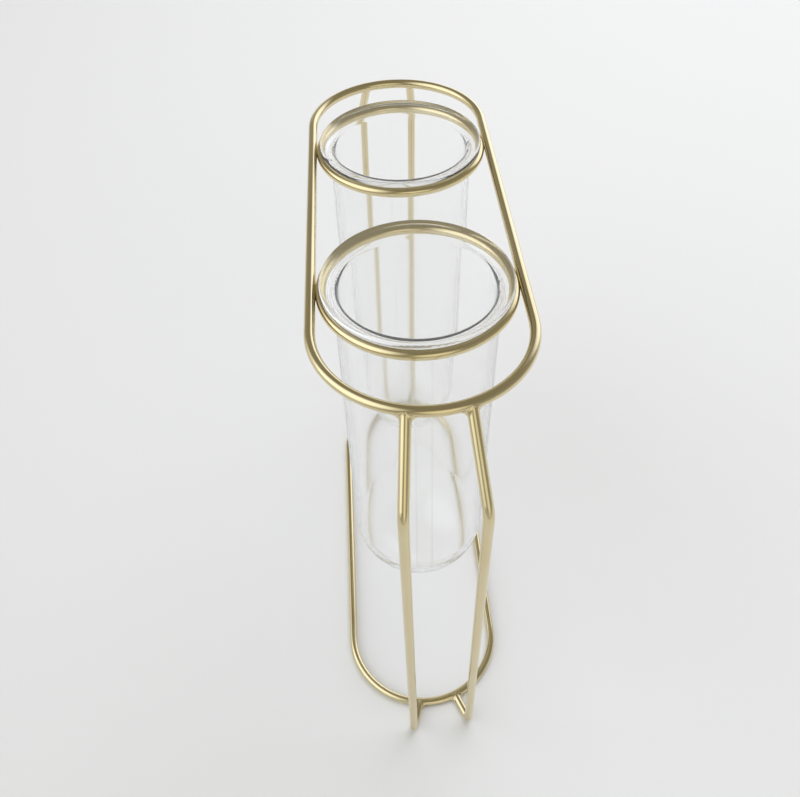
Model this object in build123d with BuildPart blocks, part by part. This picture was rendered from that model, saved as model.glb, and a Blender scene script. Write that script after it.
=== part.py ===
from build123d import *
import os
from math import cos, radians, sin

# A test tube vase: two round-bottomed glass tubes hang by their rims in a welded frame of round rod.
# The long axis is Y, the front end is -Y, and the frame stands on z = 0 with its middle at the origin.
# All lengths are in millimetres and all angles in degrees.

# Round rod that every piece of the frame is bent from
rod_radius = 1.8

# Racetrack loops, upper and lower, measured on the rod's centreline
loop_half_width = 35.0
loop_half_straight = 62.0
loop_spacing = 214.0

# Rings that hold the tubes, laid inside the upper loop and welded to its long sides
ring_offset = 43.0
ring_weld_depth = 0.2

# Legs: slope out and down from the upper loop to the knee, straight run to the foot, and a stub back
# to the lower loop. A reach is measured outward from the ends of the loops.
leg_knee_reach = 19.1
leg_knee_drop = 25.6
leg_knee_radius = 8.0
leg_foot_radius = 2.6
leg_cope_share = 0.6

# The near leg of each pair is the one closer to the long axis. Angles are taken round the end arcs.
near_weld_angle = 12.5
near_knee_x = 10.0
near_foot_x = 7.7
near_foot_reach = 11.8
near_stub_angle = 6.5
far_weld_angle = 19.0
far_knee_x = 15.0
far_foot_x = 18.4
far_foot_reach = 9.3
far_stub_angle = 22.5

# Glass tubes: the wall keeps its thickness round the bottom and out into the flared lip
tube_clearance = 1.8
tube_wall = 2.0
tube_depth = 157.0
lip_reach = 4.0
lip_bend_radius = 2.5
lip_seat_gap = 0.2

# Worked out from the sizes above
lower_loop_z = rod_radius
upper_loop_z = lower_loop_z + loop_spacing
ring_radius = loop_half_width - 2 * rod_radius + ring_weld_depth
ring_bore_radius = ring_radius - rod_radius
tube_radius = ring_bore_radius - tube_clearance
tube_bore_radius = tube_radius - tube_wall
tube_round_z = upper_loop_z - tube_depth + tube_radius
lip_radius = tube_radius + lip_reach
lip_underside_z = upper_loop_z + rod_radius + lip_seat_gap
lip_top_z = lip_underside_z + tube_wall
loop_end = loop_half_straight + loop_half_width
leg_start = leg_cope_share * rod_radius
leg_knee_y = loop_end + leg_knee_reach
leg_knee_z = upper_loop_z - leg_knee_drop

front = -1
back = 1
left = -1
right = 1

os.makedirs("parts", exist_ok=True)


def save(piece, name):
    """Labels a finished piece and writes it under its own name."""
    piece.part.label = name
    export_step(piece.part, f"parts/{name}.step")


def make_loop(height):
    """A closed racetrack of rod whose centreline lies at the given height."""
    with BuildPart() as loop:
        with BuildLine(Plane.XY.offset(height)) as centreline:
            Line((loop_half_width, -loop_half_straight), (loop_half_width, loop_half_straight))
            CenterArc((0, loop_half_straight), loop_half_width, 0, 180)
            Line((-loop_half_width, loop_half_straight), (-loop_half_width, -loop_half_straight))
            CenterArc((0, -loop_half_straight), loop_half_width, 180, 180)
        start = Plane(origin=(loop_half_width, -loop_half_straight, height), z_dir=(0, 1, 0))
        with BuildSketch(start):
            Circle(rod_radius)
        sweep(path=centreline.wires()[0])
    return loop


def make_ring(end, upper_loop):
    """A ring of rod at one end of the upper loop, let into the loop's long sides where it is welded."""
    with BuildPart() as ring:
        with Locations((0, end * ring_offset, upper_loop_z)):
            Torus(ring_radius, rod_radius, rotation=(0, 0, 90))
        add(upper_loop.part, mode=Mode.SUBTRACT)
    return ring


def arc_point(end, side, angle, height):
    """The point on a loop's centreline at the given angle from the middle of its end arc."""
    return Vector(
        side * loop_half_width * sin(radians(angle)),
        end * (loop_half_straight + loop_half_width * cos(radians(angle))),
        height,
    )


def make_leg(end, side, weld_angle, knee_x, foot_x, foot_y, stub_angle, loops):
    """A bent leg of rod, coped to the outside of both loops where it is welded to them."""
    weld = arc_point(end, side, weld_angle, upper_loop_z)
    stub_weld = arc_point(end, side, stub_angle, lower_loop_z)
    knee = Vector(side * knee_x, end * leg_knee_y, leg_knee_z)
    foot = Vector(side * foot_x, end * foot_y, lower_loop_z)
    slope = (knee - weld).normalized()
    stub_outward = (foot - stub_weld).normalized()
    start_point = weld + slope * leg_start
    with BuildPart() as leg:
        with BuildLine() as centreline:
            FilletPolyline(
                start_point,
                knee,
                foot,
                stub_weld + stub_outward * leg_start,
                radius=[leg_knee_radius, leg_foot_radius],
            )
        with BuildSketch(Plane(origin=start_point, z_dir=slope)):
            Circle(rod_radius)
        sweep(path=centreline.wires()[0])
        for loop in loops:
            add(loop.part, mode=Mode.SUBTRACT)
    return leg


def make_tube(end):
    """A glass tube with a round bottom and a flared lip that rests on its ring."""
    tube_y = end * ring_offset
    section_plane = Plane(origin=(0, tube_y, 0), x_dir=(1, 0, 0), z_dir=(0, -1, 0))

    # The lip is the wall bent outward through a right angle, and its edge is half round.
    edge_radius = tube_wall / 2
    edge_centre = (lip_radius - edge_radius, lip_underside_z + edge_radius)
    bend_centre = (tube_radius + lip_bend_radius, lip_underside_z - lip_bend_radius)
    mouth_bend_radius = lip_bend_radius + tube_wall

    with BuildPart() as tube:
        with BuildSketch(section_plane):
            with BuildLine():
                CenterArc((0, tube_round_z), tube_radius, -90, 90)
                Line((tube_radius, tube_round_z), (tube_radius, bend_centre[1]))
                CenterArc(bend_centre, lip_bend_radius, 180, -90)
                Line((bend_centre[0], lip_underside_z), (edge_centre[0], lip_underside_z))
                CenterArc(edge_centre, edge_radius, -90, 180)
                Line((edge_centre[0], lip_top_z), (bend_centre[0], lip_top_z))
                CenterArc(bend_centre, mouth_bend_radius, 90, 90)
                Line((tube_bore_radius, bend_centre[1]), (tube_bore_radius, tube_round_z))
                CenterArc((0, tube_round_z), tube_bore_radius, 0, -90)
                Line((0, tube_round_z - tube_bore_radius), (0, tube_round_z - tube_radius))
            make_face()
        revolve(axis=Axis((0, tube_y, 0), (0, 0, 1)))
    return tube


upper_loop = make_loop(upper_loop_z)
save(upper_loop, "upper_loop")

lower_loop = make_loop(lower_loop_z)
save(lower_loop, "lower_loop")

for end_name, end in (("front", front), ("back", back)):
    save(make_ring(end, upper_loop), f"{end_name}_ring")
    save(make_tube(end), f"{end_name}_tube")

# The back pair of legs is the front pair turned half round.
near_foot_y = loop_end + near_foot_reach
far_foot_y = loop_end + far_foot_reach
near = (near_weld_angle, near_knee_x, near_foot_x, near_foot_y, near_stub_angle)
far = (far_weld_angle, far_knee_x, far_foot_x, far_foot_y, far_stub_angle)
leg_places = (
    ("front_left_leg", front, left, near),
    ("front_right_leg", front, right, far),
    ("back_left_leg", back, left, far),
    ("back_right_leg", back, right, near),
)
for leg_name, end, side, places in leg_places:
    save(make_leg(end, side, *places, loops=(upper_loop, lower_loop)), leg_name)
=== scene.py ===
from math import cos, pi, radians, sin

import bmesh
import bpy
from mathutils import Matrix, Vector


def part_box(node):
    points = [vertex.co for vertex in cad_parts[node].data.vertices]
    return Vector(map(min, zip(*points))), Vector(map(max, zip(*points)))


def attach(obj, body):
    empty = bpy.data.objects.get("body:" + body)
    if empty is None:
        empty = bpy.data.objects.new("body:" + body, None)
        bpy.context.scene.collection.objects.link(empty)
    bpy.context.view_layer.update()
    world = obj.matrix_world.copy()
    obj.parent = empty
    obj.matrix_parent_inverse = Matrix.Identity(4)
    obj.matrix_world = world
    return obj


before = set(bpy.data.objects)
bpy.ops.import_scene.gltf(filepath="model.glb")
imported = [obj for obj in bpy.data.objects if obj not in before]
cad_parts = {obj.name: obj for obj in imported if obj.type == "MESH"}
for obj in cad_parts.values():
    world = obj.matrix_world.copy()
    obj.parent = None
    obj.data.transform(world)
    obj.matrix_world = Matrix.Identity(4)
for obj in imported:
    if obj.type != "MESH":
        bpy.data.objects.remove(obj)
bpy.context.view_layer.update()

# A test tube vase: two glass tubes hang by their rims in a welded frame of thin gold rod.
# All lengths are in metres and all angles in degrees. The front end is -Y.

# Sizes read from the frame
rod_radius = (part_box("lower_loop")[1].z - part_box("lower_loop")[0].z) / 2
loop_half_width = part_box("upper_loop")[1].x - rod_radius
loop_half_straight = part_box("upper_loop")[1].y - rod_radius - loop_half_width
loop_end = loop_half_straight + loop_half_width
upper_loop_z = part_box("upper_loop")[1].z - rod_radius
lower_loop_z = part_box("lower_loop")[1].z - rod_radius

# Where the legs run, as in the CAD model. Angles are taken round the end arcs.
leg_knee_reach = 0.0191
leg_knee_drop = 0.0256
leg_start = 0.6 * rod_radius
near_leg = {"weld_angle": 12.5, "knee_x": 0.0100, "foot_x": 0.0077, "foot_reach": 0.0118, "stub_angle": 6.5}
far_leg = {"weld_angle": 19.0, "knee_x": 0.0150, "foot_x": 0.0184, "foot_reach": 0.0093, "stub_angle": 22.5}
front = -1
back = 1
left = -1
right = 1
legs = (
    ("front_left", front, left, near_leg),
    ("front_right", front, right, far_leg),
    ("back_left", back, left, far_leg),
    ("back_right", back, right, near_leg),
)

# Weld beads in the corners between a leg and a loop. A bead is shaped by a ball that rolls round the leg,
# this far to either side of the middle. The last three values set how fine the mesh and the sums are.
bead_radius = 0.0022
bead_half_turn = 86.0
bead_sections = 32
bead_steps = 8
collar_sides = 48
halvings = 40

# Gold plating: soft clouds in its colour and polish, and a fine grain
cloud_scale = 45.0
cloud_detail = 3.0
cloud_low = 0.3
cloud_high = 0.7
gold_tones = (
    (cloud_low, (0.700, 0.596, 0.356)),
    (0.50, (0.720, 0.620, 0.380)),
    (cloud_high, (0.738, 0.642, 0.408)),
)
gold_smooth = 0.11
gold_dull = 0.17
grain_scale = 900.0
grain_detail = 4.0
grain_strength = 0.05
grain_height = 0.0001

# Glass: slow waves from the blowing, and a trace of haze
wave_scale = 15.0
wave_detail = 1.0
wave_strength = 0.015
wave_height = 0.001
glass_tones = ((0.3, (0.985, 0.99, 0.99)), (0.7, (1.0, 1.0, 1.0)))
glass_roughness = 0.05
glass_ior = 1.47
glass_clear_share = 0.985
glass_shadow = (0.97, 0.975, 0.975)

# Floor
floor_half_width = 1.5
floor_front = -0.5
floor_back = 1.5
floor_colour = (0.80, 0.80, 0.80)
floor_roughness = 0.9

# Overhead panel
fill_place = Vector((0.6, 0.75, 1.9))
fill_size = 1.8
fill_power = 26.5
fill_colour = (0.925, 0.93, 1.0)

# Pale backdrop. What is seen through the glass is backdrop below the first of these elevations and the
# mirrored room above the second.
backdrop = (0.80, 0.80, 0.80)
backdrop_full = 6
backdrop_gone = 24

# The room that the rods and the glass mirror: its tones from the nadir, 0, to the zenith, 1, and its glows.
# Each glow is at an azimuth and an elevation, is full within one angle of there and gone beyond another.
room_tones = (
    (0.40, (0.50, 0.495, 0.46)),
    (0.50, (0.45, 0.44, 0.40)),
    (0.55, (0.37, 0.36, 0.31)),
    (0.80, (0.28, 0.265, 0.215)),
    (0.95, (0.27, 0.255, 0.205)),
)
room_glows = {
    "left window": {"place": (-70, 32), "full": 14, "gone": 48, "colour": (1.25, 1.32, 1.40)},
    "left wall": {"place": (-108, 12), "full": 10, "gone": 28, "colour": (0.60, 0.60, 0.60)},
    "front wall": {"place": (14, 20), "full": 8, "gone": 28, "colour": (0.66, 0.64, 0.54)},
    "front sill": {"place": (14, -10), "full": 5, "gone": 20, "colour": (0.24, 0.23, 0.20)},
    "right back window": {"place": (143, 16), "full": 14, "gone": 34, "colour": (1.15, 1.22, 1.40)},
    "back wall": {"place": (180, 4), "full": 8, "gone": 26, "colour": (0.50, 0.50, 0.50)},
}

# Camera
camera_place = Vector((-0.0150, -0.2410, 0.3822))
camera_heading = -2.38
camera_pitch = -48.05
camera_roll = -1.78
camera_lens = 35.31
camera_sensor = 36.0
camera_near = 0.01


def material(name, slot):
    """A new node material, with its tree emptied, and the record's slot that it stands for."""
    made = bpy.data.materials.new(name)
    made.use_nodes = True
    made.node_tree.nodes.clear()
    made["slot"] = slot
    return made


class Tree:
    """A short way to add nodes to a material or a world and to link them."""

    def __init__(self, owner):
        self.tree = owner.node_tree

    def add(self, kind, settings=None, inputs=None):
        """Adds a node. An input's value is a number, a tuple or another node's output."""
        node = self.tree.nodes.new("ShaderNode" + kind)
        for key, value in (settings or {}).items():
            setattr(node, key, value)
        for key, value in (inputs or {}).items():
            if isinstance(value, bpy.types.NodeSocket):
                self.tree.links.new(value, node.inputs[key])
            else:
                node.inputs[key].default_value = value
        return node

    def ramp(self, factor, stops):
        """A colour ramp through the given (place, colour) stops."""
        node = self.add("ValToRGB", inputs={"Fac": factor})
        elements = node.color_ramp.elements
        while len(elements) < len(stops):
            elements.new(1.0)
        for element, (place, colour) in zip(elements, stops):
            element.position = place
            element.color = (*colour, 1.0)
        return node.outputs["Color"]

    def range(self, value, low, high, new_low, new_high):
        """Maps a value from one range to another, without going past the ends."""
        return self.add("MapRange", inputs={
            "Value": value, "From Min": low, "From Max": high, "To Min": new_low, "To Max": new_high,
        }).outputs["Result"]

    def noise(self, place, scale, detail):
        """Noise from 0 to 1 at a place."""
        node = self.add("TexNoise", inputs={"Vector": place, "Scale": scale, "Detail": detail})
        return node.outputs["Fac"]

    def bump(self, height, strength, distance):
        """The normal of a surface raised by a height."""
        node = self.add("Bump", inputs={"Height": height, "Strength": strength, "Distance": distance})
        return node.outputs["Normal"]


def gold_rod_material():
    """Satin polished pale gold plating on drawn rod."""
    made = material("pale_gold_plating", "gold_rod")
    tree = Tree(made)
    place = tree.add("TexCoord").outputs["Object"]
    cloud = tree.noise(place, cloud_scale, cloud_detail)
    grain = tree.noise(place, grain_scale, grain_detail)
    shader = tree.add("BsdfPrincipled", inputs={
        "Base Color": tree.ramp(cloud, gold_tones),
        "Metallic": 1.0,
        "Roughness": tree.range(cloud, cloud_low, cloud_high, gold_smooth, gold_dull),
        "Normal": tree.bump(grain, grain_strength, grain_height),
    })
    tree.add("OutputMaterial", inputs={"Surface": shader.outputs["BSDF"]})
    return made


def clear_glass_material():
    """Clear glass. Lamps shine through it, so that it throws no solid shadow."""
    made = material("clear_blown_glass", "clear_glass")
    tree = Tree(made)
    place = tree.add("TexCoord").outputs["Object"]
    wave = tree.noise(place, wave_scale, wave_detail)
    glass = tree.add("BsdfPrincipled", inputs={
        "Base Color": tree.ramp(wave, glass_tones),
        "Roughness": glass_roughness,
        "IOR": glass_ior,
        "Transmission Weight": glass_clear_share,
        "Normal": tree.bump(wave, wave_strength, wave_height),
    })
    clear = tree.add("BsdfTransparent", inputs={"Color": (*glass_shadow, 1.0)})
    path = tree.add("LightPath")
    mix = tree.add("MixShader", inputs={
        0: path.outputs["Is Shadow Ray"],
        1: glass.outputs["BSDF"],
        2: clear.outputs["BSDF"],
    })
    tree.add("OutputMaterial", inputs={"Surface": mix.outputs["Shader"]})
    return made


def dress(names, finish):
    """Gives CAD nodes their material."""
    for name in names:
        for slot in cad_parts[name].material_slots:
            slot.material = finish


def arc_point(end, side, angle, height):
    """The point on a loop's centreline at the given angle from the middle of its end arc."""
    return Vector((
        side * loop_half_width * sin(radians(angle)),
        end * (loop_half_straight + loop_half_width * cos(radians(angle))),
        height,
    ))


class Joint:
    """The place where the straight end of a leg is welded to a loop's end arc."""

    def __init__(self, end, weld, toward_leg):
        self.arc_centre = Vector((0, end * loop_half_straight, weld.z))
        self.weld = weld
        self.along = toward_leg.normalized()
        tangent = Vector((0, 0, 1)).cross(weld - self.arc_centre)
        self.up = self.along.cross(tangent).normalized()
        self.beside = self.up.cross(self.along)

    def on_leg(self, point):
        """The point of the leg's centreline nearest to a given point."""
        return self.weld + self.along * (point - self.weld).dot(self.along)

    def on_loop(self, point):
        """The point of the loop's centreline nearest to a given point."""
        flat = point - self.arc_centre
        flat.z = 0
        return self.arc_centre + loop_half_width * flat.normalized()

    def ball(self, around):
        """The centre of a ball that rests on the loop and, in the given direction, on the leg."""
        reach = rod_radius + bead_radius
        low = 0.0
        high = 2 * reach
        for _ in range(halvings):
            middle = (low + high) / 2
            point = self.weld + middle * self.along + reach * around
            if (point - self.on_loop(point)).length < reach:
                low = middle
            else:
                high = middle
        return point

    def bead(self, mesh, side):
        """Fills the corner on one side of the leg, as a ball rolled along it would shape the metal."""
        rings = []
        for index in range(bead_sections + 1):
            angle = radians(bead_half_turn * (2 * index / bead_sections - 1))
            ball = self.ball(side * cos(angle) * self.beside + sin(angle) * self.up)
            first = (self.on_leg(ball) - ball).normalized()
            last = (self.on_loop(ball) - ball).normalized()
            ring = [
                mesh.verts.new(ball + bead_radius * first.lerp(last, step / bead_steps).normalized())
                for step in range(bead_steps + 1)
            ]
            ring.append(mesh.verts.new((self.on_leg(ball) + self.on_loop(ball)) / 2))
            rings.append(ring)
        for one, other in zip(rings, rings[1:]):
            for index in range(len(one)):
                face = mesh.faces.new((one[index - 1], one[index], other[index], other[index - 1]))
                face.smooth = 0 < index <= bead_steps
        mesh.faces.new(rings[0])
        mesh.faces.new(rings[-1])

    def collar(self, mesh):
        """The leg's last stretch, from its coped end to the middle of the loop's rod."""
        rings = []
        for place in (self.weld, self.weld + leg_start * self.along):
            rings.append([
                mesh.verts.new(place + rod_radius * (cos(angle) * self.beside + sin(angle) * self.up))
                for angle in (2 * pi * index / collar_sides for index in range(collar_sides))
            ])
        for index in range(collar_sides):
            corners = (rings[0][index - 1], rings[0][index], rings[1][index], rings[1][index - 1])
            mesh.faces.new(corners).smooth = True
        mesh.faces.new(rings[0])
        mesh.faces.new(rings[1])


def make_weld(name, joint, finish):
    """A weld: the collar and the two beads, as one piece of the frame."""
    mesh = bmesh.new()
    joint.collar(mesh)
    joint.bead(mesh, left)
    joint.bead(mesh, right)
    bmesh.ops.recalc_face_normals(mesh, faces=mesh.faces)
    data = bpy.data.meshes.new(name)
    mesh.to_mesh(data)
    mesh.free()
    data.materials.append(finish)
    weld = bpy.data.objects.new(name, data)
    bpy.context.scene.collection.objects.link(weld)
    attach(weld, "frame")


def make_welds(finish):
    """The welds at the top and the foot of each leg."""
    for name, end, side, leg in legs:
        top = arc_point(end, side, leg["weld_angle"], upper_loop_z)
        knee_z = upper_loop_z - leg_knee_drop
        knee = Vector((side * leg["knee_x"], end * (loop_end + leg_knee_reach), knee_z))
        make_weld(f"{name}_top_weld", Joint(end, top, knee - top), finish)
        stub = arc_point(end, side, leg["stub_angle"], lower_loop_z)
        foot = Vector((side * leg["foot_x"], end * (loop_end + leg["foot_reach"]), lower_loop_z))
        make_weld(f"{name}_foot_weld", Joint(end, stub, foot - stub), finish)


def make_floor():
    """A plain pale floor."""
    mesh = bpy.data.meshes.new("floor")
    corners = [
        (-floor_half_width, floor_front, 0),
        (floor_half_width, floor_front, 0),
        (floor_half_width, floor_back, 0),
        (-floor_half_width, floor_back, 0),
    ]
    mesh.from_pydata(corners, [], [(0, 1, 2, 3)])
    floor = bpy.data.objects.new("floor", mesh)
    bpy.context.scene.collection.objects.link(floor)
    made = bpy.data.materials.new("floor_paper")
    made.use_nodes = True
    made.node_tree.nodes.clear()
    tree = Tree(made)
    shader = tree.add("BsdfPrincipled", inputs={
        "Base Color": (*floor_colour, 1.0),
        "Roughness": floor_roughness,
    })
    tree.add("OutputMaterial", inputs={"Surface": shader.outputs["BSDF"]})
    mesh.materials.append(made)


def toward(azimuth, elevation):
    """The direction at an azimuth, from the front end round to +X, and an elevation."""
    az = radians(azimuth)
    el = radians(elevation)
    return Vector((cos(el) * sin(az), -cos(el) * cos(az), sin(el)))


def make_fill():
    """An overhead panel that brings the light on the floor up to a plain level."""
    lamp = bpy.data.lights.new("overhead_fill", "AREA")
    lamp.shape = "SQUARE"
    lamp.size = fill_size
    lamp.energy = fill_power
    lamp.color = fill_colour
    fill = bpy.data.objects.new("overhead_fill", lamp)
    bpy.context.scene.collection.objects.link(fill)
    fill.location = fill_place
    fill.visible_camera = False
    fill.visible_glossy = False
    fill.visible_transmission = False


def add_glow(tree, direction, room, place, full, gone, colour):
    """Adds a soft round glow to the room's colour."""
    near = tree.add("VectorMath", {"operation": "DOT_PRODUCT"}, {0: direction, 1: tuple(toward(*place))})
    share = tree.add("MapRange", {"interpolation_type": "SMOOTHSTEP"}, {
        "Value": near.outputs["Value"], "From Min": cos(radians(gone)), "From Max": cos(radians(full)),
    })
    glow = tree.add("VectorMath", {"operation": "SCALE"}, {0: colour, "Scale": share.outputs["Result"]})
    return tree.add("VectorMath", {"operation": "ADD"}, {0: room, 1: glow.outputs[0]}).outputs[0]


def make_world():
    """A dim warm room with bright windows, and a pale backdrop for the camera and for the glass."""
    world = bpy.data.worlds.new("studio")
    bpy.context.scene.world = world
    world.use_nodes = True
    world.node_tree.nodes.clear()
    tree = Tree(world)
    direction = tree.add("TexCoord").outputs["Generated"]
    height = tree.add("SeparateXYZ", inputs={"Vector": direction}).outputs["Z"]
    room = tree.ramp(tree.range(height, -1.0, 1.0, 0.0, 1.0), room_tones)
    for glow in room_glows.values():
        room = add_glow(tree, direction, room, **glow)
    path = tree.add("LightPath")
    low = tree.range(height, toward(0, backdrop_full).z, toward(0, backdrop_gone).z, 1.0, 0.0)
    through = tree.add("Math", {"operation": "MULTIPLY"}, {0: path.outputs["Is Transmission Ray"], 1: low})
    seen = tree.add("Math", {"operation": "MAXIMUM"}, {
        0: path.outputs["Is Camera Ray"],
        1: through.outputs["Value"],
    })
    mirrored = tree.add("Background", inputs={"Color": room})
    pale = tree.add("Background", inputs={"Color": (*backdrop, 1.0)})
    mix = tree.add("MixShader", inputs={
        0: seen.outputs["Value"],
        1: mirrored.outputs["Background"],
        2: pale.outputs["Background"],
    })
    tree.add("OutputWorld", inputs={"Surface": mix.outputs["Shader"]})


def make_camera():
    """The camera at the photograph's viewing angle."""
    lens = bpy.data.cameras.new("camera")
    lens.sensor_width = camera_sensor
    lens.lens = camera_lens
    lens.clip_start = camera_near
    camera = bpy.data.objects.new("camera", lens)
    bpy.context.scene.collection.objects.link(camera)
    camera.matrix_world = (
        Matrix.Translation(camera_place)
        @ Matrix.Rotation(radians(camera_heading), 4, "Z")
        @ Matrix.Rotation(radians(90 + camera_pitch), 4, "X")
        @ Matrix.Rotation(radians(camera_roll), 4, "Z")
    )
    bpy.context.scene.camera = camera


bpy.context.scene.view_settings.view_transform = "Standard"
glass_nodes = ("front_tube", "back_tube")
rod_nodes = [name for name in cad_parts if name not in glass_nodes]
gold_rod = gold_rod_material()
dress(rod_nodes, gold_rod)
dress(glass_nodes, clear_glass_material())
make_welds(gold_rod)
make_floor()
make_fill()
make_world()
make_camera()
